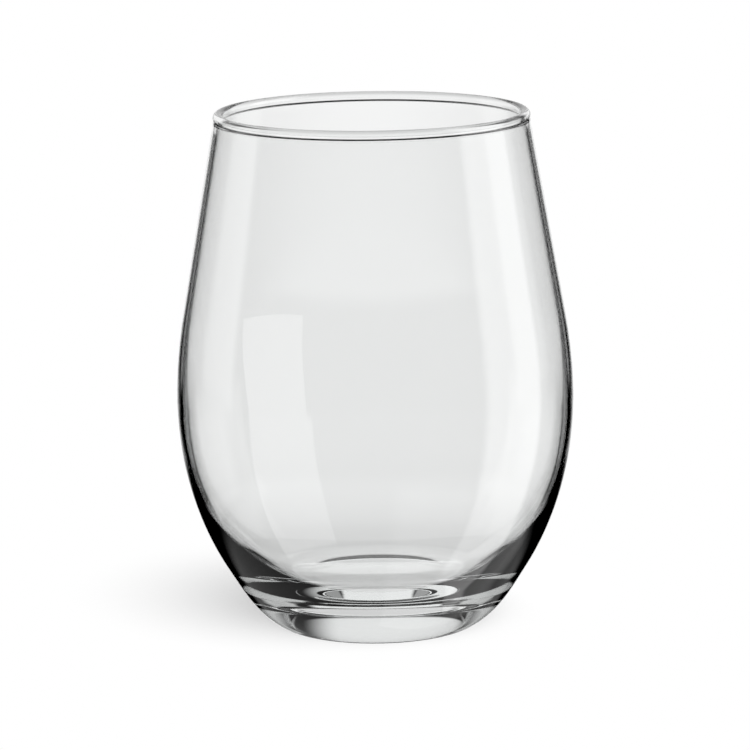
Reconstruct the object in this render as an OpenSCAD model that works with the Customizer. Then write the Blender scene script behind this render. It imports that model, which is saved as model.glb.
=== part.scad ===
// Stemless wine glass, blown in one piece of clear soda-lime glass.
// The origin is on the axis at table level, with +Z up. Lengths are in millimetres, angles in degrees.

/* [Overall] */
// Height from the table to the top of the rim
height = 118; // [112:0.5:126]
// Largest diameter, at the belly
belly_d = 90; // [88:0.1:94]
// Height of the largest diameter above the table
belly_z = 53.1; // [50:0.1:56]

/* [Rim] */
// Outside diameter over the fire-polished bead at the mouth
rim_d = 71.4; // [68:0.1:76]
// Thickness of the bead
bead_d = 2.3; // [1.8:0.05:2.6]
// How far the bead stands out past the outside of the wall
bead_overhang = 0.25; // [0.1:0.05:0.4]
// Radius of the two fillets where the wall runs into the bead
bead_fillet_r = 0.9; // [0.4:0.1:1.6]

/* [Wall] */
// Thickness of the wall between the belly and the rim
wall_t = 1.25; // [1:0.05:1.6]
// Height at which the straight taper of the wall begins
shoulder_z = 71.8; // [66:0.1:76]
// How much the radius has drawn in from the belly at that height
shoulder_inset = 1.7; // [1:0.1:2.5]

/* [Foot] */
// Diameter of the ring that rests on the table, at its outer edge
foot_d = 40.3; // [36:0.1:44]
// Width of the flat land of that ring
foot_land = 2.6; // [1.5:0.1:4]
// Radius of the round between the resting ring and the heel
foot_round_r = 6.1; // [4:0.1:9]
// Steepness of the outside, from the table, where that round ends
foot_angle = 30; // [24:1:38]
// Rise of the shallow hollow under the foot
hollow_rise = 0.9; // [0.4:0.1:1.6]

/* [Flank] */
// Diameter of the outside at the flank, above the heel
flank_d = 68.6; // [64:0.1:73]
// Height of that diameter above the table
flank_z = 14; // [11:0.1:18]
// Steepness of the outside there, from the table
flank_angle = 57.8; // [52:0.1:64]

/* [Bowl floor] */
// Thickness of the glass from the table to the middle of the bowl floor
floor_z = 9.5; // [8:0.1:12]
// How much the middle of the bowl floor stands above its edge
floor_crown = 0.3; // [0.1:0.05:0.6]
// Diameter of the edge where the bowl floor has turned up into the side
well_d = 48.5; // [44:0.5:52]
// Radius of the turn between the floor and the side, inside
well_round_r = 6.6; // [4:0.1:9]
// Steepness of the inside at the well's edge
well_angle = 31.8; // [27:0.2:37]

/* [Hidden] */
$fn = 96;

// Steps along each curve of the outline
curve_steps = 14;
turn_steps = 6;
bead_steps = 9;
fillet_steps = 4;

// Handles of the side curves, as shares of the distance between their ends
heel_shares = [0.344, 0.315];
outer_belly_shares = [0.331, 0.339];
inner_belly_shares = [0.574, 0.186];
shoulder_shares = [0.06, 0.52];

belly_r = belly_d / 2;
bead_r = bead_d / 2;
foot_r = foot_d / 2;
land_r = foot_r - foot_land;
well_r = well_d / 2;

// The bead's section is a circle, and both faces of the wall run into it below
bead_centre = [rim_d / 2 - bead_r, height - bead_r];
mouth_r = rim_d / 2 - bead_overhang;

// The straight taper, from the shoulder to the bead's height
shoulder_r = belly_r - shoulder_inset;
taper = atan2(shoulder_r - mouth_r, bead_centre.y - shoulder_z);
taper_up = [-sin(taper), cos(taper)];
taper_out = [cos(taper), sin(taper)];

// How far round each fillet turns, and where on the bead it ends
outer_reach = (mouth_r - bead_centre.x) * cos(taper);
inner_reach = outer_reach - wall_t;
fillet_reach = bead_r + bead_fillet_r;
outer_turn = acos((outer_reach + bead_fillet_r) / fillet_reach);
inner_turn = acos((bead_fillet_r - inner_reach) / fillet_reach);
outer_join = taper - outer_turn;
inner_join = taper + 180 + inner_turn;

// A point at an angle on a circle
function on_circle(centre, r, angle) = centre + r * [cos(angle), sin(angle)];

// The points along an arc, both ends with it
function arc(centre, r, from, to, steps) =
    [for (i = [0:steps]) on_circle(centre, r, from + (to - from) * i / steps)];

// The points after the first end of a curve that leaves one end along way_a and enters the other along way_b
function blend(a, way_a, b, way_b, shares) =
    let (span = norm(b - a), c = a + way_a * span * shares[0], d = b - way_b * span * shares[1])
    [for (i = [1:curve_steps]) let (t = i / curve_steps, s = 1 - t)
        a * s ^ 3 + c * 3 * t * s ^ 2 + d * 3 * t ^ 2 * s + b * t ^ 3];

// Radius of the circle that spans a half width with a given rise
function cap_r(half_width, rise) = (half_width ^ 2 + rise ^ 2) / (2 * rise);

// The underside: the hollow from the axis outwards, then the land
function underside() =
    let (r = cap_r(land_r, hollow_rise), half = asin(land_r / r))
    arc([0, hollow_rise - r], r, 90, 90 - half, turn_steps);

// The outside: the round above the foot, the heel, the flank, the belly and the taper
function outside() =
    let (
        turn = arc([foot_r, foot_round_r], foot_round_r, -90, foot_angle - 90, turn_steps),
        foot_way = [cos(foot_angle), sin(foot_angle)],
        flank = [flank_d / 2, flank_z],
        flank_way = [cos(flank_angle), sin(flank_angle)]
    )
    concat(
        turn,
        blend(turn[turn_steps], foot_way, flank, flank_way, heel_shares),
        blend(flank, flank_way, [belly_r, belly_z], [0, 1], outer_belly_shares),
        blend([belly_r, belly_z], [0, 1], [shoulder_r, shoulder_z], taper_up, shoulder_shares)
    );

// The bead with its fillets, from the outer face of the wall over its top to the inner face
function bead() =
    let (
        top = 90,
        outer_centre = on_circle(bead_centre, fillet_reach, outer_join),
        inner_centre = on_circle(bead_centre, fillet_reach, inner_join),
        outer_half = arc(bead_centre, bead_r, outer_join, top, bead_steps),
        inner_half = arc(bead_centre, bead_r, top, inner_join, bead_steps),
        inner_fillet = arc(inner_centre, bead_fillet_r, taper + inner_turn, taper, fillet_steps)
    )
    concat(
        arc(outer_centre, bead_fillet_r, taper + 180, taper + 180 - outer_turn, fillet_steps),
        [for (i = [1:bead_steps]) outer_half[i]],
        [for (i = [1:bead_steps]) inner_half[i]],
        [for (i = [1:fillet_steps]) inner_fillet[i]]
    );

// The inside: down the taper, round the belly and the well, and along the floor to the axis
function inside() =
    let (
        inner_shoulder = [shoulder_r, shoulder_z] - wall_t * taper_out,
        inner_belly = [belly_r - wall_t, belly_z],
        floor_edge = [well_r - well_round_r * sin(well_angle), floor_z - floor_crown],
        turn = arc(floor_edge + [0, well_round_r], well_round_r, well_angle - 90, -90, turn_steps),
        well_way = [-cos(well_angle), -sin(well_angle)],
        crown_r = cap_r(floor_edge.x, floor_crown),
        half = asin(floor_edge.x / crown_r),
        crown = arc([0, floor_z - crown_r], crown_r, 90 - half, 90, turn_steps)
    )
    concat(
        [inner_shoulder],
        blend(inner_shoulder, -taper_up, inner_belly, [0, -1], [shoulder_shares[1], shoulder_shares[0]]),
        blend(inner_belly, [0, -1], turn[0], well_way, inner_belly_shares),
        [for (i = [1:turn_steps]) turn[i]],
        [for (i = [1:turn_steps]) crown[i]]
    );

// Half of the glass in section, to be turned about the axis
module section() {
    polygon(concat(underside(), outside(), bead(), inside()));
}

module wine_glass() {
    color([0.86, 0.9, 0.89, 0.4])
    rotate_extrude()
    section();
}

wine_glass();
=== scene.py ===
"""A stemless wine glass in clear glass, its finish, and the small studio that it stands in."""

import logging
import math
from dataclasses import dataclass, field
from enum import Enum
from typing import Union

import bpy
from mathutils import Matrix, Vector


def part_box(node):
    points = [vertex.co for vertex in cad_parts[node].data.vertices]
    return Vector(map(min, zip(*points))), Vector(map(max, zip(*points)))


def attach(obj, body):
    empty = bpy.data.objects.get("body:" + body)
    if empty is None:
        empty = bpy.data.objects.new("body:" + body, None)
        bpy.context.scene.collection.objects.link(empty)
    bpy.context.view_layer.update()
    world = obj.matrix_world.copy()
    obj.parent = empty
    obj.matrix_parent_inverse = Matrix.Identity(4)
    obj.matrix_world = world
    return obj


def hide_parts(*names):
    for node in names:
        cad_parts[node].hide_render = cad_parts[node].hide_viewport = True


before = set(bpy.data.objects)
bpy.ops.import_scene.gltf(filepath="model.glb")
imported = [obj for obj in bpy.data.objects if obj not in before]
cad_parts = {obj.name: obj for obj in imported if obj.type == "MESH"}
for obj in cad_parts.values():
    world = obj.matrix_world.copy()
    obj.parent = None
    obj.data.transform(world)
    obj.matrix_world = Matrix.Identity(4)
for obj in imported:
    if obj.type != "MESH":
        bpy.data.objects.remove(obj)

log = logging.getLogger("wine_glass")

MM = 0.001
PHOTO_PIXELS = 750
SENSOR_WIDTH = 36.0
LIGHT_BOUNCES = 6
WHITE = (1.0, 1.0, 1.0, 1.0)
HALF_TURN = 180.0
NOISE_MIDDLE = 0.5

Value = Union[bpy.types.NodeSocket, float, int, bool, tuple]


class Nodes:
    """Adds nodes to one node tree and wires them as they are made."""

    def __init__(self, tree: bpy.types.NodeTree) -> None:
        """Starts on an empty tree.

        Args:
            tree: The tree that the nodes go into.
        """
        self.tree = tree
        tree.nodes.clear()

    def add(self, kind: str, **settings: object) -> bpy.types.Node:
        """Adds a node and sets its options.

        Args:
            kind: The node's type name.
            settings: Values of the node's own properties.

        Returns:
            The new node.
        """
        node = self.tree.nodes.new(kind)
        for name, value in settings.items():
            setattr(node, name, value)
        return node

    def feed(self, socket: bpy.types.NodeSocket, value: Value) -> None:
        """Links a socket, or sets its value.

        Args:
            socket: The input to fill.
            value: An output socket, or a plain value.
        """
        if isinstance(value, bpy.types.NodeSocket):
            self.tree.links.new(value, socket)
        else:
            socket.default_value = value

    def math(self, operation: str, *values: Value) -> bpy.types.NodeSocket:
        """Adds a Math node.

        Args:
            operation: What the node works out.
            values: Its inputs, in order.

        Returns:
            The result.
        """
        node = self.add("ShaderNodeMath", operation=operation)
        for socket, value in zip(node.inputs, values):
            self.feed(socket, value)
        return node.outputs[0]

    def ease(self, value: Value, low: float, high: float) -> bpy.types.NodeSocket:
        """Adds a Map Range node that rises smoothly from 0 to 1.

        Args:
            value: What is compared with the two limits.
            low: Where the rise begins.
            high: Where it ends.

        Returns:
            A value from 0 to 1.
        """
        node = self.add("ShaderNodeMapRange", interpolation_type="SMOOTHSTEP")
        self.feed(node.inputs["Value"], value)
        node.inputs["From Min"].default_value = low
        node.inputs["From Max"].default_value = high
        return node.outputs["Result"]

    def mix(self, share: Value, first: Value, second: Value) -> bpy.types.NodeSocket:
        """Blends two values.

        Args:
            share: 0 for the first and 1 for the second.
            first: A value.
            second: Another value.

        Returns:
            The blend.
        """
        node = self.add("ShaderNodeMix", data_type="FLOAT")
        for socket, value in zip(node.inputs, (share, None, first, second)):
            if value is not None:
                self.feed(socket, value)
        return node.outputs[0]


@dataclass(frozen=True)
class Section:
    """The glass in half section, as the CAD source draws it, in millimetres and degrees."""

    height: float
    belly_d: float
    belly_z: float = 53.1
    rim_d: float = 71.4
    bead_d: float = 2.3
    bead_overhang: float = 0.25
    bead_fillet_r: float = 0.9
    wall_t: float = 1.25
    shoulder_z: float = 71.8
    shoulder_inset: float = 1.7
    foot_d: float = 40.3
    foot_land: float = 2.6
    foot_round_r: float = 6.1
    foot_angle: float = 30.0
    flank_d: float = 68.6
    flank_z: float = 14.0
    flank_angle: float = 57.8
    hollow_rise: float = 0.9
    floor_z: float = 9.5
    floor_crown: float = 0.3
    well_d: float = 48.5
    well_round_r: float = 6.6
    well_angle: float = 31.8
    heel_shares: tuple[float, float] = (0.344, 0.315)
    outer_belly_shares: tuple[float, float] = (0.331, 0.339)
    inner_belly_shares: tuple[float, float] = (0.574, 0.186)
    shoulder_shares: tuple[float, float] = (0.06, 0.52)
    curve_steps: int = 34
    turn_steps: int = 14
    bead_steps: int = 16
    fillet_steps: int = 8
    taper_steps: int = 24

    @property
    def belly(self) -> Vector:
        """The widest point of the outside."""
        return Vector((self.belly_d / 2, self.belly_z))

    @property
    def shoulder(self) -> Vector:
        """Where the straight taper of the outside begins."""
        return Vector((self.belly_d / 2 - self.shoulder_inset, self.shoulder_z))

    @property
    def bead_centre(self) -> Vector:
        """The middle of the bead's round section."""
        return Vector(((self.rim_d - self.bead_d) / 2, self.height - self.bead_d / 2))

    @property
    def mouth_r(self) -> float:
        """Radius of the outside of the wall at the bead's height."""
        return self.rim_d / 2 - self.bead_overhang

    @property
    def taper(self) -> float:
        """Lean of the straight wall, in radians."""
        return math.atan2(self.shoulder.x - self.mouth_r, self.bead_centre.y - self.shoulder_z)

    @property
    def taper_up(self) -> Vector:
        """The way up along the straight wall."""
        return Vector((-math.sin(self.taper), math.cos(self.taper)))

    @property
    def taper_out(self) -> Vector:
        """The way out of the straight wall."""
        return Vector((math.cos(self.taper), math.sin(self.taper)))

    @staticmethod
    def arc(centre: Vector, r: float, start: float, end: float, steps: int) -> list[Vector]:
        """Points along an arc, with both its ends.

        Args:
            centre: The arc's centre.
            r: Its radius.
            start: The angle of its first point.
            end: The angle of its last point.
            steps: How many steps it takes.

        Returns:
            The points in order.
        """
        angles = [math.radians(start + (end - start) * i / steps) for i in range(steps + 1)]
        return [centre + Vector((math.cos(a), math.sin(a))) * r for a in angles]

    def blend(
        self, a: Vector, way_a: Vector, b: Vector, way_b: Vector, shares: tuple[float, float]
    ) -> list[Vector]:
        """Points after the first of a curve that leaves one end along a way and enters the other along one.

        Args:
            a: The first end.
            way_a: The way out of it.
            b: The other end.
            way_b: The way into it.
            shares: Reach of the two handles, as shares of the distance between the ends.

        Returns:
            The points in order.
        """
        span = (b - a).length
        c = a + way_a * span * shares[0]
        d = b - way_b * span * shares[1]
        points = []
        for i in range(1, self.curve_steps + 1):
            t = i / self.curve_steps
            s = 1 - t
            points.append(a * s**3 + c * 3 * t * s**2 + d * 3 * t**2 * s + b * t**3)
        return points

    @staticmethod
    def cap_radius(half_width: float, rise: float) -> float:
        """Radius of the circle that spans a half width with a given rise."""
        return (half_width**2 + rise**2) / (2 * rise)

    def underside(self) -> list[Vector]:
        """The hollow under the foot, from the axis outwards.

        Returns:
            The points in order.
        """
        land_r = self.foot_d / 2 - self.foot_land
        r = self.cap_radius(land_r, self.hollow_rise)
        half = math.degrees(math.asin(land_r / r))
        return self.arc(Vector((0, self.hollow_rise - r)), r, 90, 90 - half, self.turn_steps)

    def outside(self) -> list[Vector]:
        """The round above the foot, the heel, the flank, the belly and the start of the taper.

        Returns:
            The points in order.
        """
        centre = Vector((self.foot_d / 2, self.foot_round_r))
        turn = self.arc(centre, self.foot_round_r, -90, self.foot_angle - 90, self.turn_steps)
        foot_lean, flank_lean = math.radians(self.foot_angle), math.radians(self.flank_angle)
        foot_way = Vector((math.cos(foot_lean), math.sin(foot_lean)))
        flank_way = Vector((math.cos(flank_lean), math.sin(flank_lean)))
        flank = Vector((self.flank_d / 2, self.flank_z))
        up = Vector((0, 1))
        heel = self.blend(turn[-1], foot_way, flank, flank_way, self.heel_shares)
        side = self.blend(flank, flank_way, self.belly, up, self.outer_belly_shares)
        upper = self.blend(self.belly, up, self.shoulder, self.taper_up, self.shoulder_shares)
        return turn + heel + side + upper

    @staticmethod
    def straight(a: Vector, b: Vector, steps: int) -> list[Vector]:
        """Points between the two ends of a straight stretch, both ends left out."""
        return [a.lerp(b, i / steps) for i in range(1, steps)]

    def bead(self) -> list[Vector]:
        """The bead with its fillets, from the outer face of the wall over its top to the inner face.

        Returns:
            The points in order.
        """
        r, fillet = self.bead_d / 2, self.bead_fillet_r
        lean = math.degrees(self.taper)
        outer_reach = (self.mouth_r - self.bead_centre.x) * math.cos(self.taper)
        inner_reach = outer_reach - self.wall_t
        outer_turn = math.degrees(math.acos((outer_reach + fillet) / (r + fillet)))
        inner_turn = math.degrees(math.acos((fillet - inner_reach) / (r + fillet)))
        first, last = lean - outer_turn, lean + 180 + inner_turn
        outer_centre = self.arc(self.bead_centre, r + fillet, first, first, 1)[0]
        inner_centre = self.arc(self.bead_centre, r + fillet, last, last, 1)[0]
        return (
            self.arc(outer_centre, fillet, lean + 180, lean + 180 - outer_turn, self.fillet_steps)
            + self.arc(self.bead_centre, r, first, 90, self.bead_steps)[1:]
            + self.arc(self.bead_centre, r, 90, last, self.bead_steps)[1:]
            + self.arc(inner_centre, fillet, lean + inner_turn, lean, self.fillet_steps)[1:]
        )

    def inside(self) -> list[Vector]:
        """The inside, down the taper, round the belly and the well, and along the floor to the axis.

        Returns:
            The points in order.
        """
        shoulder = self.shoulder - self.taper_out * self.wall_t
        belly = self.belly - Vector((self.wall_t, 0))
        lean = math.radians(self.well_angle)
        edge_r = self.well_d / 2 - self.well_round_r * math.sin(lean)
        floor_edge = Vector((edge_r, self.floor_z - self.floor_crown))
        centre = floor_edge + Vector((0, self.well_round_r))
        turn = self.arc(centre, self.well_round_r, self.well_angle - 90, -90, self.turn_steps)
        crown_r = self.cap_radius(floor_edge.x, self.floor_crown)
        half = math.degrees(math.asin(floor_edge.x / crown_r))
        crown = self.arc(Vector((0, self.floor_z - crown_r)), crown_r, 90 - half, 90, self.turn_steps)
        down = Vector((0, -1))
        well_way = Vector((-math.cos(lean), -math.sin(lean)))
        upper = self.blend(shoulder, -self.taper_up, belly, down, self.shoulder_shares[::-1])
        side = self.blend(belly, down, turn[0], well_way, self.inner_belly_shares)
        return [shoulder] + upper + side + turn[1:] + crown[1:]

    def outline(self) -> list[Vector]:
        """The whole outline, from the middle of the underside to the middle of the bowl floor.

        Returns:
            The points in order.
        """
        outside, bead, inside = self.outside(), self.bead(), self.inside()
        up = self.straight(outside[-1], bead[0], self.taper_steps)
        down = self.straight(bead[-1], inside[0], self.taper_steps)
        return self.underside() + outside + up + bead + down + inside


@dataclass(frozen=True)
class ClearGlass:
    """Clear soda-lime glass with a faint grey tint in its depth."""

    name: str = "clear_glass"
    refraction: float = 1.51
    face_colour: tuple[float, float, float, float] = (0.995, 1.0, 0.998, 1.0)
    depth_colour: tuple[float, float, float, float] = (0.72, 0.76, 0.75, 1.0)
    depth_density: float = 6.0

    def material(self) -> bpy.types.Material:
        """Makes the material.

        Returns:
            The material.
        """
        material = bpy.data.materials.new(self.name)
        material.use_nodes = True
        nodes = Nodes(material.node_tree)
        out = nodes.add("ShaderNodeOutputMaterial")
        face = nodes.add("ShaderNodeBsdfPrincipled")
        face.inputs["Base Color"].default_value = self.face_colour
        face.inputs["Transmission Weight"].default_value = 1.0
        face.inputs["IOR"].default_value = self.refraction
        face.inputs["Roughness"].default_value = 0.0
        depth = nodes.add("ShaderNodeVolumeAbsorption")
        depth.inputs["Color"].default_value = self.depth_colour
        depth.inputs["Density"].default_value = self.depth_density
        nodes.feed(out.inputs["Surface"], face.outputs["BSDF"])
        nodes.feed(out.inputs["Volume"], depth.outputs["Volume"])
        return material


@dataclass
class Lathe:
    """Turns an outline about the axis with Geometry Nodes, and leaves the inside of the base uneven.

    Lengths are in metres.
    """

    segments: int = 288
    ripple_height: float = 0.00004
    ripple_size: float = 0.011
    ripple_seed: float = 7.0
    ripple_top: float = 0.034
    ripple_floor: float = 0.006
    ripple_detail: float = 1.0
    weld: float = 0.000004

    def tree(self) -> bpy.types.GeometryNodeTree:
        """Builds the node tree, with the outline, the sizes and the material as its inputs.

        Returns:
            The tree.
        """
        tree = bpy.data.node_groups.new("turned_glass", "GeometryNodeTree")
        nodes = Nodes(tree)
        sockets = tree.interface
        sockets.new_socket("Outline", in_out="INPUT", socket_type="NodeSocketGeometry")
        sockets.new_socket("Segments", in_out="INPUT", socket_type="NodeSocketInt")
        for name in ("Ripple Height", "Ripple Size", "Ripple Seed", "Ripple Top", "Ripple Floor", "Weld"):
            sockets.new_socket(name, in_out="INPUT", socket_type="NodeSocketFloat")
        sockets.new_socket("Material", in_out="INPUT", socket_type="NodeSocketMaterial")
        sockets.new_socket("Glass", in_out="OUTPUT", socket_type="NodeSocketGeometry")
        given = nodes.add("NodeGroupInput").outputs

        count = nodes.add("GeometryNodeAttributeDomainSize")
        nodes.feed(count.inputs["Geometry"], given["Outline"])
        columns = count.outputs["Point Count"]
        grid = nodes.add("GeometryNodeMeshGrid")
        nodes.feed(grid.inputs["Vertices X"], nodes.math("ADD", given["Segments"], 1))
        nodes.feed(grid.inputs["Vertices Y"], columns)

        index = nodes.add("GeometryNodeInputIndex").outputs["Index"]
        # Half an index keeps the division clear of whole numbers, where it could round down
        half_index = 0.5
        turn = nodes.math("FLOOR", nodes.math("DIVIDE", nodes.math("ADD", index, half_index), columns))
        along = nodes.math("SUBTRACT", index, nodes.math("MULTIPLY", turn, columns))
        sample = nodes.add("GeometryNodeSampleIndex", data_type="FLOAT_VECTOR", domain="POINT")
        nodes.feed(sample.inputs["Geometry"], given["Outline"])
        nodes.feed(sample.inputs["Value"], nodes.add("GeometryNodeInputPosition").outputs["Position"])
        nodes.feed(sample.inputs["Index"], along)
        split = nodes.add("ShaderNodeSeparateXYZ")
        nodes.feed(split.inputs[0], sample.outputs[0])
        radius, height = split.outputs["X"], split.outputs["Z"]

        angle = nodes.math("MULTIPLY", nodes.math("DIVIDE", turn, given["Segments"]), math.tau)
        cosine = nodes.math("COSINE", angle)
        sine = nodes.math("SINE", angle)
        place = nodes.add("ShaderNodeCombineXYZ")
        nodes.feed(place.inputs["X"], nodes.math("MULTIPLY", radius, cosine))
        nodes.feed(place.inputs["Y"], nodes.math("MULTIPLY", radius, sine))
        nodes.feed(place.inputs["Z"], height)
        turned = nodes.add("GeometryNodeSetPosition")
        nodes.feed(turned.inputs["Geometry"], grid.outputs["Mesh"])
        nodes.feed(turned.inputs["Position"], place.outputs["Vector"])
        welded = nodes.add("GeometryNodeMergeByDistance")
        nodes.feed(welded.inputs["Geometry"], turned.outputs["Geometry"])
        nodes.feed(welded.inputs["Distance"], given["Weld"])

        self.finish(nodes, given, self.rippled(nodes, given, welded.outputs["Geometry"]))
        return tree

    def rippled(
        self, nodes: Nodes, given: bpy.types.bpy_prop_collection, mesh: bpy.types.NodeSocket
    ) -> bpy.types.NodeSocket:
        """Moves the inside of the base along its normals by a smooth noise that fades out up the wall.

        Args:
            nodes: The tree's nodes.
            given: The tree's inputs.
            mesh: The welded mesh.

        Returns:
            The uneven mesh.
        """
        position = nodes.add("GeometryNodeInputPosition").outputs["Position"]
        normal = nodes.add("GeometryNodeInputNormal").outputs["Normal"]
        split = nodes.add("ShaderNodeSeparateXYZ")
        nodes.feed(split.inputs[0], position)
        facing = nodes.add("ShaderNodeSeparateXYZ")
        nodes.feed(facing.inputs[0], normal)
        noise = nodes.add("ShaderNodeTexNoise", noise_dimensions="4D")
        nodes.feed(noise.inputs["Vector"], position)
        nodes.feed(noise.inputs["W"], given["Ripple Seed"])
        nodes.feed(noise.inputs["Scale"], nodes.math("DIVIDE", 1.0, given["Ripple Size"]))
        noise.inputs["Detail"].default_value = self.ripple_detail
        fade = nodes.add("ShaderNodeMapRange", interpolation_type="SMOOTHSTEP")
        nodes.feed(fade.inputs["Value"], split.outputs["Z"])
        nodes.feed(fade.inputs["From Min"], given["Ripple Top"])
        nodes.feed(fade.inputs["From Max"], given["Ripple Floor"])
        inner = nodes.math("GREATER_THAN", facing.outputs["Z"], 0.0)
        wave = nodes.math("SUBTRACT", noise.outputs[0], NOISE_MIDDLE)
        height = nodes.math("MULTIPLY", wave, given["Ripple Height"])
        height = nodes.math("MULTIPLY", height, nodes.math("MULTIPLY", inner, fade.outputs["Result"]))
        shift = nodes.add("ShaderNodeVectorMath", operation="SCALE")
        nodes.feed(shift.inputs[0], normal)
        nodes.feed(shift.inputs["Scale"], height)
        moved = nodes.add("GeometryNodeSetPosition")
        nodes.feed(moved.inputs["Geometry"], mesh)
        nodes.feed(moved.inputs["Offset"], shift.outputs["Vector"])
        return moved.outputs["Geometry"]

    @staticmethod
    def finish(nodes: Nodes, given: bpy.types.bpy_prop_collection, mesh: bpy.types.NodeSocket) -> None:
        """Smooths the faces, realizes instances, sets the material and ends the tree.

        Args:
            nodes: The tree's nodes.
            given: The tree's inputs.
            mesh: The finished shape.
        """
        smooth = nodes.add("GeometryNodeSetShadeSmooth")
        nodes.feed(smooth.inputs["Geometry"], mesh)
        real = nodes.add("GeometryNodeRealizeInstances")
        nodes.feed(real.inputs["Geometry"], smooth.outputs["Geometry"])
        dressed = nodes.add("GeometryNodeSetMaterial")
        nodes.feed(dressed.inputs["Geometry"], real.outputs["Geometry"])
        nodes.feed(dressed.inputs["Material"], given["Material"])
        out = nodes.add("NodeGroupOutput")
        nodes.feed(out.inputs["Glass"], dressed.outputs["Geometry"])

    def turned(self, outline: list[Vector], material: bpy.types.Material) -> bpy.types.Mesh:
        """Runs the tree on an outline.

        Args:
            outline: Points of the half section, in metres, X across and Y up.
            material: The material of the result.

        Returns:
            A plain mesh of the turned body.
        """
        line = bpy.data.meshes.new("outline")
        edges = [(i, i + 1) for i in range(len(outline) - 1)]
        line.from_pydata([(p.x, 0.0, p.y) for p in outline], edges, [])
        holder = bpy.data.objects.new("outline", line)
        bpy.context.scene.collection.objects.link(holder)
        modifier = holder.modifiers.new("lathe", "NODES")
        modifier.node_group = self.tree()
        given = {
            "Segments": self.segments,
            "Ripple Height": self.ripple_height,
            "Ripple Size": self.ripple_size,
            "Ripple Seed": self.ripple_seed,
            "Ripple Top": self.ripple_top,
            "Ripple Floor": self.ripple_floor,
            "Weld": self.weld,
            "Material": material,
        }
        for socket in modifier.node_group.interface.items_tree:
            if socket.in_out == "INPUT" and socket.name in given:
                modifier[socket.identifier] = given[socket.name]
        evaluated = holder.evaluated_get(bpy.context.evaluated_depsgraph_get())
        mesh = bpy.data.meshes.new_from_object(evaluated)
        holder.modifiers.remove(modifier)
        bpy.data.objects.remove(holder)
        return mesh


@dataclass
class WineGlass:
    """The whole glass: rim bead, wall, base and foot, in one piece."""

    section: Section
    finish: ClearGlass = field(default_factory=ClearGlass)
    lathe: Lathe = field(default_factory=Lathe)
    node: str = "wine_glass"
    piece: str = "blown_glass"

    def build(self) -> bpy.types.Object:
        """Makes the piece, dresses it and puts it on its body.

        Returns:
            The glass.
        """
        outline = [point * MM for point in self.section.outline()]
        mesh = self.lathe.turned(outline, self.finish.material())
        mesh.name = self.piece
        glass = bpy.data.objects.new(self.piece, mesh)
        bpy.context.scene.collection.objects.link(glass)
        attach(glass, "root")
        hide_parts(self.node)
        log.info("%s: %d faces", glass.name, len(mesh.polygons))
        return glass


class SeenBy(Enum):
    """The rays that meet a panel of the dome."""

    THROUGH = "through the glass"
    STRAIGHT = "through the glass, with nothing mirrored on the way"
    MIRRORED = "mirrored in its faces"
    BOTH = "through the glass and mirrored"

    def kinds(self) -> tuple["SeenBy", ...]:
        """The single kinds of ray that this one stands for."""
        return (SeenBy.THROUGH, SeenBy.MIRRORED) if self is SeenBy.BOTH else (self,)


@dataclass(frozen=True)
class Panel:
    """A lit panel of the dome. Azimuth 0 is +Y and 90 is +X. Angles are in degrees.

    Towards its low end it can be dimmer, by low_share, and narrower to each side, by taper. A taper below
    zero makes it wider there.
    """

    azimuth: float
    half_width: float
    low: float
    high: float
    glow: float
    side_edge: float = 2.0
    end_edge: float = 3.0
    low_share: float = 1.0
    taper: float = 0.0
    seen_by: SeenBy = SeenBy.BOTH

    def light(
        self, nodes: Nodes, azimuth: bpy.types.NodeSocket, elevation: bpy.types.NodeSocket
    ) -> bpy.types.NodeSocket:
        """Adds the panel's light to the dome's nodes.

        Args:
            nodes: The dome's nodes.
            azimuth: The ray's azimuth in degrees.
            elevation: The ray's elevation in degrees.

        Returns:
            The panel's strength along the ray.
        """
        offset = nodes.math("WRAP", nodes.math("SUBTRACT", azimuth, self.azimuth), HALF_TURN, -HALF_TURN)
        height = nodes.ease(elevation, self.low, self.high)
        narrowing = nodes.math("MULTIPLY", nodes.math("SUBTRACT", 1.0, height), self.taper)
        offset = nodes.math("ADD", nodes.math("ABSOLUTE", offset), narrowing)
        side_reach, end_reach = self.side_edge / 2, self.end_edge / 2
        past_side = nodes.ease(offset, self.half_width - side_reach, self.half_width + side_reach)
        across = nodes.math("SUBTRACT", 1.0, past_side)
        rise = nodes.ease(elevation, self.low - end_reach, self.low + end_reach)
        fall = nodes.ease(elevation, self.high - end_reach, self.high + end_reach)
        along = nodes.math("MULTIPLY", rise, nodes.math("SUBTRACT", 1.0, fall))
        glow = nodes.mix(height, self.glow * self.low_share, self.glow)
        return nodes.math("MULTIPLY", nodes.math("MULTIPLY", across, along), glow)


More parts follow.
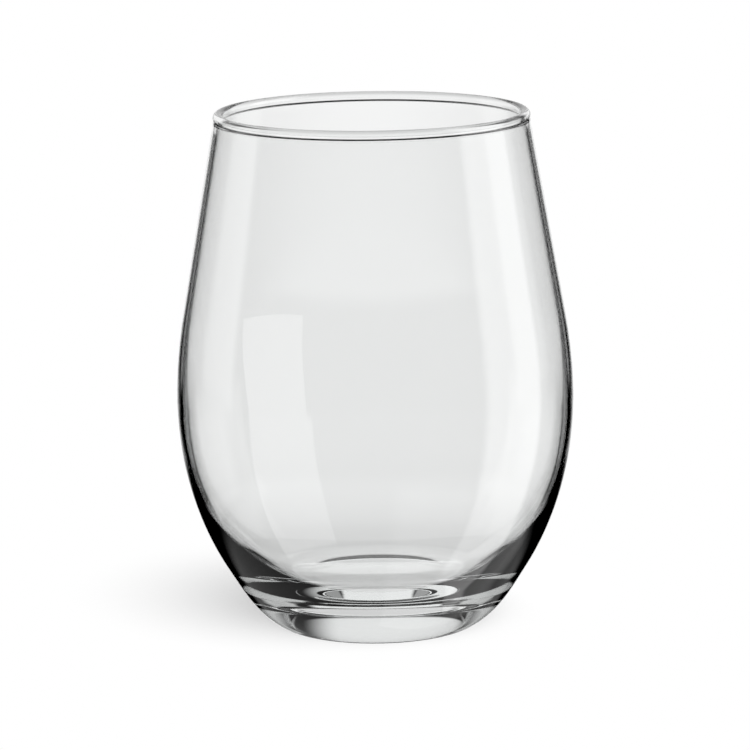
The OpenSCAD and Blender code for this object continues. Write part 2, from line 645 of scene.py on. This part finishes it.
@dataclass
class Dome:
    """White to the camera and to the table, and lit panels on black to the glass."""

    panels: tuple[Panel, ...]
    white: float = 1.0

    def build(self) -> bpy.types.World:
        """Makes the world.

        Returns:
            The world, set on the scene.
        """
        world = bpy.data.worlds.new("dome")
        world.use_nodes = True
        nodes = Nodes(world.node_tree)
        way = nodes.add("ShaderNodeSeparateXYZ")
        nodes.feed(way.inputs[0], nodes.add("ShaderNodeTexCoord").outputs["Generated"])
        azimuth = nodes.math("DEGREES", nodes.math("ARCTAN2", way.outputs["X"], way.outputs["Y"]))
        elevation = nodes.math("DEGREES", nodes.math("ARCSINE", way.outputs["Z"]))
        brightest = {SeenBy.THROUGH: 0.0, SeenBy.STRAIGHT: 0.0, SeenBy.MIRRORED: 0.0}
        for panel in self.panels:
            light = panel.light(nodes, azimuth, elevation)
            for kind in panel.seen_by.kinds():
                brightest[kind] = nodes.math("MAXIMUM", light, brightest[kind])
        ray = nodes.add("ShaderNodeLightPath").outputs
        strength = nodes.mix(ray["Is Glossy Ray"], self.white, brightest[SeenBy.MIRRORED])
        unmirrored = nodes.math("LESS_THAN", ray["Glossy Depth"], 1.0)
        straight = nodes.math("MULTIPLY", brightest[SeenBy.STRAIGHT], unmirrored)
        through = nodes.math("MAXIMUM", brightest[SeenBy.THROUGH], straight)
        strength = nodes.mix(ray["Is Transmission Ray"], strength, through)
        strength = nodes.mix(ray["Is Camera Ray"], strength, self.white)
        background = nodes.add("ShaderNodeBackground")
        background.inputs["Color"].default_value = WHITE
        nodes.feed(background.inputs["Strength"], strength)
        out = nodes.add("ShaderNodeOutputWorld")
        nodes.feed(out.inputs["Surface"], background.outputs["Background"])
        bpy.context.scene.world = world
        log.info("dome: %d panels", len(self.panels))
        return world


@dataclass
class Card:
    """An upright lit card that only mirrors see. Its corners are places across it and heights, in metres."""

    name: str
    azimuth: float
    distance: float
    corners: tuple[tuple[float, float], ...]
    glow: float

    def build(self) -> bpy.types.Object:
        """Makes the card.

        Returns:
            The card's object.
        """
        turn = math.radians(self.azimuth)
        place = Vector((math.sin(turn), math.cos(turn), 0)) * self.distance
        across = Vector((math.cos(turn), -math.sin(turn), 0))
        corners = [place + across * side + Vector((0, 0, height)) for side, height in self.corners]
        mesh = bpy.data.meshes.new(self.name)
        mesh.from_pydata(corners, [], [(0, 1, 2, 3)])
        material = bpy.data.materials.new(self.name)
        material.use_nodes = True
        nodes = Nodes(material.node_tree)
        glow = nodes.add("ShaderNodeEmission")
        glow.inputs["Strength"].default_value = self.glow
        out = nodes.add("ShaderNodeOutputMaterial")
        nodes.feed(out.inputs["Surface"], glow.outputs[0])
        mesh.materials.append(material)
        card = bpy.data.objects.new(self.name, mesh)
        bpy.context.scene.collection.objects.link(card)
        card.visible_camera = card.visible_diffuse = card.visible_transmission = card.visible_shadow = False
        log.info("%s", self.name)
        return card


@dataclass
class Table:
    """The white surface under the glass, plain white further out. Near the glass it shows the lamp's real
    shading only inside a disc set where the glass's shadow falls, so the disc's place and round edge are
    painted shade. In metres.
    """

    size: float = 4.0
    # Painted shade: the disc where the lamp's shading shows is centred back left, where the glass's shadow
    # falls, and fades out at its edge. Inside it the diffuse light is under white, so it darkens a little
    # even where no shadow falls.
    shadow_disc_share: float = 0.95
    shadow_disc_radius: float = 0.067
    shadow_disc_centre: tuple[float, float, float] = (-0.008, 0.033, 0.0)
    white: float = 0.8

    def material(self) -> bpy.types.Material:
        """Makes the surface's material, which keeps the glass's real shadow inside the disc; the disc's place
        and edge are painted shade.

        Returns:
            The material.
        """
        material = bpy.data.materials.new("table")
        material.use_nodes = True
        nodes = Nodes(material.node_tree)
        place = nodes.add("ShaderNodeTexCoord").outputs["Object"]
        distance = nodes.add("ShaderNodeVectorMath", operation="DISTANCE")
        nodes.feed(distance.inputs[0], place)
        distance.inputs[1].default_value = self.shadow_disc_centre
        # Painted shade: the lamp's real shading shows only within this disc, fading to plain white at its
        # edge.
        far = nodes.ease(distance.outputs["Value"], 0.0, self.shadow_disc_radius)
        share = nodes.math("MULTIPLY", nodes.math("SUBTRACT", 1.0, far), self.shadow_disc_share)
        plain = nodes.add("ShaderNodeEmission")
        lit = nodes.add("ShaderNodeBsdfDiffuse")
        lit.inputs["Color"].default_value = (self.white, self.white, self.white, 1.0)
        both = nodes.add("ShaderNodeMixShader")
        nodes.feed(both.inputs[0], share)
        nodes.feed(both.inputs[1], plain.outputs[0])
        nodes.feed(both.inputs[2], lit.outputs[0])
        out = nodes.add("ShaderNodeOutputMaterial")
        nodes.feed(out.inputs["Surface"], both.outputs[0])
        return material

    def build(self) -> bpy.types.Object:
        """Makes the surface.

        Returns:
            The table's object.
        """
        half = self.size / 2
        corners = [(-half, -half, 0), (half, -half, 0), (half, half, 0), (-half, half, 0)]
        mesh = bpy.data.meshes.new("table")
        mesh.from_pydata(corners, [], [(0, 1, 2, 3)])
        mesh.materials.append(self.material())
        table = bpy.data.objects.new("table", mesh)
        bpy.context.scene.collection.objects.link(table)
        table.visible_glossy = False
        table.visible_transmission = False
        log.info("table")
        return table


@dataclass
class Lamp:
    """A square soft lamp that points at the glass. Lengths are in metres, angles in degrees."""

    name: str
    azimuth: float
    elevation: float
    distance: float
    side: float
    power: float

    def build(self, target: Vector) -> bpy.types.Object:
        """Makes the lamp.

        Args:
            target: The point that it lights.

        Returns:
            The lamp.
        """
        turn, rise = math.radians(self.azimuth), math.radians(self.elevation)
        way = Vector((math.sin(turn) * math.cos(rise), math.cos(turn) * math.cos(rise), math.sin(rise)))
        data = bpy.data.lights.new(self.name, "AREA")
        data.size = self.side
        data.energy = self.power
        lamp = bpy.data.objects.new(self.name, data)
        lamp.location = target + way * self.distance
        lamp.rotation_euler = way.to_track_quat("Z", "Y").to_euler()
        lamp.visible_camera = False
        lamp.visible_glossy = False
        lamp.visible_transmission = False
        bpy.context.scene.collection.objects.link(lamp)
        log.info("%s", self.name)
        return lamp


@dataclass
class Camera:
    """The photograph's camera, as found from the rim's and the base's ellipses. Lengths are in metres."""

    distance: float = 1.0036
    rim_elevation: float = 7.45
    aim: tuple[float, float] = (0.0, 0.0575)
    roll: float = -0.78
    pixels_per_metre: float = 4447.0

    def build(self, rim_height: float) -> bpy.types.Object:
        """Makes the camera and sets it on the scene.

        Args:
            rim_height: Height of the rim's middle, in metres.

        Returns:
            The camera.
        """
        rise = math.radians(self.rim_elevation)
        place = Vector((0, -math.cos(rise), math.sin(rise))) * self.distance + Vector((0, 0, rim_height))
        target = Vector((self.aim[0], 0, self.aim[1]))
        data = bpy.data.cameras.new("camera")
        data.sensor_width = SENSOR_WIDTH
        data.lens = self.pixels_per_metre * self.distance / PHOTO_PIXELS * SENSOR_WIDTH
        camera = bpy.data.objects.new("camera", data)
        turn = (place - target).to_track_quat("Z", "Y").to_matrix().to_4x4()
        spin = Matrix.Rotation(math.radians(self.roll), 4, "Z")
        camera.matrix_world = Matrix.Translation(place) @ turn @ spin
        bpy.context.scene.collection.objects.link(camera)
        bpy.context.scene.camera = camera
        log.info("camera: %.0f mm lens", data.lens)
        return camera


@dataclass(frozen=True)
class Studio:
    """The dome with its panels, a card at the left, the table and one lamp.

    Angles are in degrees, lengths in metres. A panel that ends past straight down, or past half a turn, has
    its soft edge out of sight.
    """

    past_down: float = -95.0
    past_half_turn: float = 181.0
    card_corners: tuple[tuple[float, float], ...] = ((-0.143, 0), (0.045, 0), (0.105, 0.098), (-0.108, 0.119))

    def backdrop(self) -> tuple[Panel, ...]:
        """The pale backdrop: three stretches that overlap, and two below them that narrow downwards.

        Returns:
            Its panels.
        """
        return (
            Panel(azimuth=-4, half_width=22.3, low=-2.5, high=7, glow=0.92, side_edge=3, end_edge=2),
            Panel(azimuth=10.5, half_width=17, low=0, high=7, glow=0.95, side_edge=6, end_edge=2),
            Panel(azimuth=-8, half_width=29, low=4, high=22, glow=0.93, side_edge=18, end_edge=2),
            Panel(
                azimuth=0, half_width=20, low=-12.5, high=-1.5, glow=0.97,
                side_edge=1.5, end_edge=1, low_share=0.96, taper=9.5,
            ),
            Panel(
                azimuth=0, half_width=10.3, low=-30, high=-10.5, glow=0.94,
                side_edge=1.5, end_edge=2, low_share=0.8, taper=2.5,
            ),
        )

    def sides(self) -> tuple[Panel, ...]:
        """What lies to each side of the backdrop: a low patch, a thin strip and two stretches of dimmer room.

        Returns:
            Its panels.
        """
        panels = []
        for side in (-1, 1):
            thin = {"side_edge": 1, "end_edge": 2}
            panels += [
                Panel(azimuth=side * 13.5, half_width=2.5, low=-15, high=-10, glow=0.35, **thin),
                Panel(azimuth=side * 25, half_width=0.8, low=-9.6, high=2, glow=0.7, **thin),
                Panel(azimuth=side * 63, half_width=26, low=-9, high=30, glow=0.6, side_edge=4, end_edge=8),
                Panel(azimuth=side * 66, half_width=18, low=-28, high=-4, glow=0.5, side_edge=12, end_edge=4),
            ]
        return tuple(panels)

    def walls(self) -> tuple[Panel, ...]:
        """What stands behind the glass when it is seen from another side than the photograph's.

        Returns:
            Its panels.
        """
        look = {"glow": 0.9, "side_edge": 6, "end_edge": 6, "seen_by": SeenBy.STRAIGHT}
        return (
            Panel(azimuth=-45, half_width=18, low=-30, high=-16, **look),
            Panel(azimuth=-90, half_width=20, low=-30, high=6, **look),
            Panel(azimuth=135, half_width=21, low=-29, high=-6, **look),
        )

    def tabletop(self) -> tuple[Panel, ...]:
        """The table, as the glass shows it: all round, and brighter on the lamp's side where faces mirror it.

        Returns:
            Its panels.
        """
        every_way = {"azimuth": 0, "half_width": self.past_half_turn, "low": self.past_down, "end_edge": 6}
        return (
            Panel(high=-26.5, glow=0.7, seen_by=SeenBy.THROUGH, **every_way),
            Panel(high=-30, glow=0.3, seen_by=SeenBy.MIRRORED, **every_way),
            Panel(
                azimuth=108, half_width=62, low=self.past_down, high=-30, glow=0.85,
                side_edge=20, end_edge=6, seen_by=SeenBy.MIRRORED,
            ),
        )

    def softboxes(self) -> tuple[Panel, ...]:
        """The two tall lights that the faces mirror, at the left and at the right.

        Returns:
            Its panels.
        """
        mirrored = SeenBy.MIRRORED
        return (
            Panel(azimuth=-123, half_width=20.5, low=-50, high=-7, glow=1.5, taper=-4, seen_by=mirrored),
            Panel(azimuth=91, half_width=22, low=-62, high=60, glow=2.4, side_edge=8, seen_by=mirrored),
        )

    def build(self, middle: Vector) -> None:
        """Makes the studio.

        Args:
            middle: The middle of the glass, which the lamp points at.
        """
        Dome(self.backdrop() + self.sides() + self.walls() + self.tabletop() + self.softboxes()).build()
        Card("left_card", azimuth=-119, distance=0.3, corners=self.card_corners, glow=1.5).build()
        Table().build()
        Lamp("key_lamp", azimuth=128, elevation=55, distance=1.2, side=0.5, power=12.0).build(middle)


def plain(box: tuple[Vector, Vector]) -> list[list[float]]:
    """Two corners as plain lists of numbers."""
    return [[float(x) for x in corner] for corner in box]


def main() -> None:
    """Builds the glass, the studio and the camera."""
    logging.basicConfig(level=logging.INFO, format="%(message)s")
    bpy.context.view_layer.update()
    bpy.context.scene.view_settings.view_transform = "Standard"
    low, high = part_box("wine_glass")
    section = Section(height=(high.z - low.z) / MM, belly_d=(high.x - low.x) / MM)
    WineGlass(section).build()
    Camera().build(section.bead_centre.y * MM)
    Studio().build(Vector((0, 0, high.z / 2)))
    paths = bpy.context.scene.cycles
    paths.max_bounces = paths.transmission_bounces = paths.glossy_bounces = LIGHT_BOUNCES


if __name__ == "__main__":
    main()
